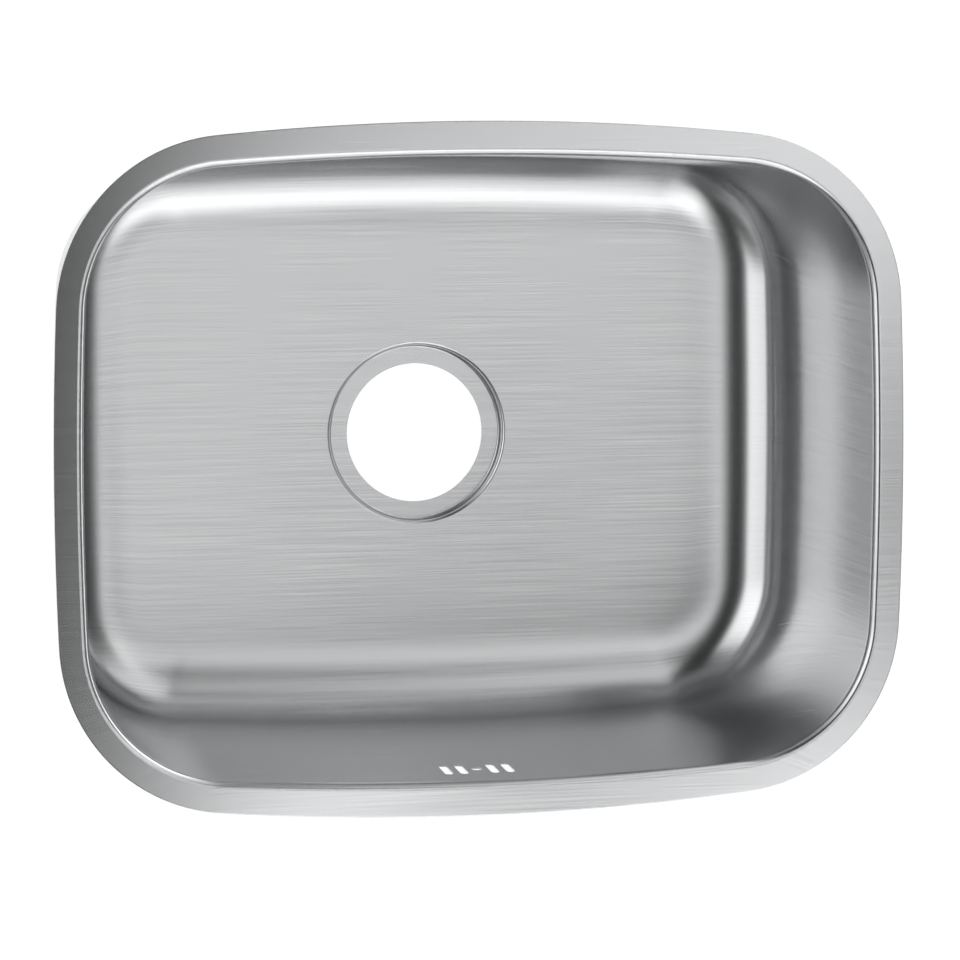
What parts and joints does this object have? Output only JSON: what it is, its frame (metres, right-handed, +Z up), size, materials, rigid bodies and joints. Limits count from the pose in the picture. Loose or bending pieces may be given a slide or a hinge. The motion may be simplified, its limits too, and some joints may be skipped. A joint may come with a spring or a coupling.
{
  "type": "kitchen sink bowl",
  "caption": "Pressed brushed-steel undermount kitchen sink bowl with a flat flange, dished floor, recessed waste hole, slotted overflow and glued sound pads.",
  "frame": {"origin": "under the middle of the flange, level with the underside of the waste ring that the bowl stands on", "axes": "+Z up out of the bowl, +X along the long side, -Y towards the wall with the overflow"},
  "size_m": [0.5316, 0.4232, 0.2],
  "materials": {
    "pressed_steel": "satin brushed, lines along the long side",
    "sound_pad": "matte, fine grain"
  },
  "bodies": {
    "root": {"sink_bowl": "pressed_steel", "base_pad_left": "sound_pad", "base_pad_right": "sound_pad", "front_wall_pad": "sound_pad", "back_wall_pad": "sound_pad", "left_wall_pad": "sound_pad", "right_wall_pad": "sound_pad"}
  },
  "joints": []
}
